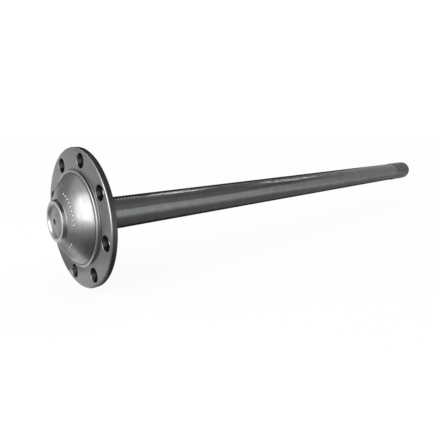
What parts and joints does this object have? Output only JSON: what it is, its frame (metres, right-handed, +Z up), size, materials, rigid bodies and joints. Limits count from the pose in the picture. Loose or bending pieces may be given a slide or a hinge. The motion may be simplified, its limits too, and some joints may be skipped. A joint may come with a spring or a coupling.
{
  "type": "axle shaft",
  "caption": "Full-floating drive axle shaft: round domed flange with stud holes, long plain shaft and splined inner end.",
  "frame": {"origin": "centre of the flange's hub face, on the shaft's axis", "axes": "+Y along the shaft from the hub face to the splined end, +Z up; the domed face looks along -Y"},
  "size_m": [0.2256, 1.2822, 0.2256],
  "materials": {
    "forged_steel": "dark satin, forged and turned"
  },
  "bodies": {
    "root": {"axle_shaft": "forged_steel"}
  },
  "joints": []
}
